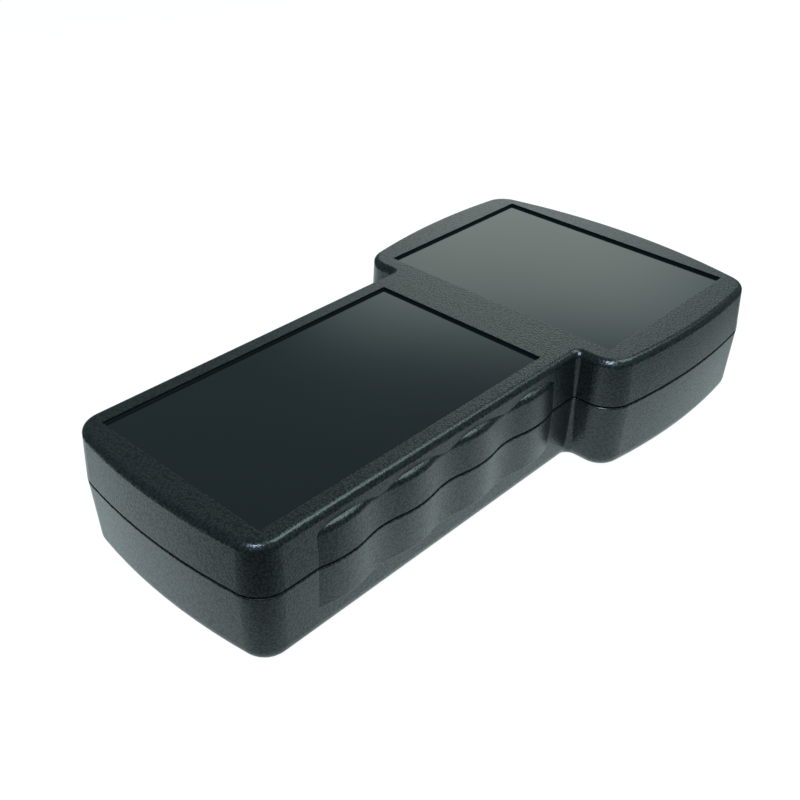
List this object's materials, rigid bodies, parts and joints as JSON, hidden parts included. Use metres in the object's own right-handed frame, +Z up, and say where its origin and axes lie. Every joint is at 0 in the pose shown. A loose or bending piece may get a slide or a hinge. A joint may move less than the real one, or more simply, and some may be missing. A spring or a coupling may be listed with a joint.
{
  "type": "hand-held instrument housing",
  "caption": "Two-part moulded plastic hand-held housing with a wide display head, a finger-grip handle, shallow panel recesses and a battery door.",
  "frame": {"origin": "under the middle of the case on its rest face", "axes": "+Y from the handle to the display head, +Z up out of the panel face, +X across the case"},
  "size_m": [0.124, 0.235, 0.044],
  "materials": {
    "shell_plastic": "fine spark-eroded texture, smooth semi-gloss recess floors",
    "screw_steel": "black zinc plated"
  },
  "bodies": {
    "root": {"top_shell": "shell_plastic", "base_shell": "shell_plastic", "battery_door": "shell_plastic", "case_screws": "screw_steel", "door_screw": "screw_steel"}
  },
  "joints": []
}
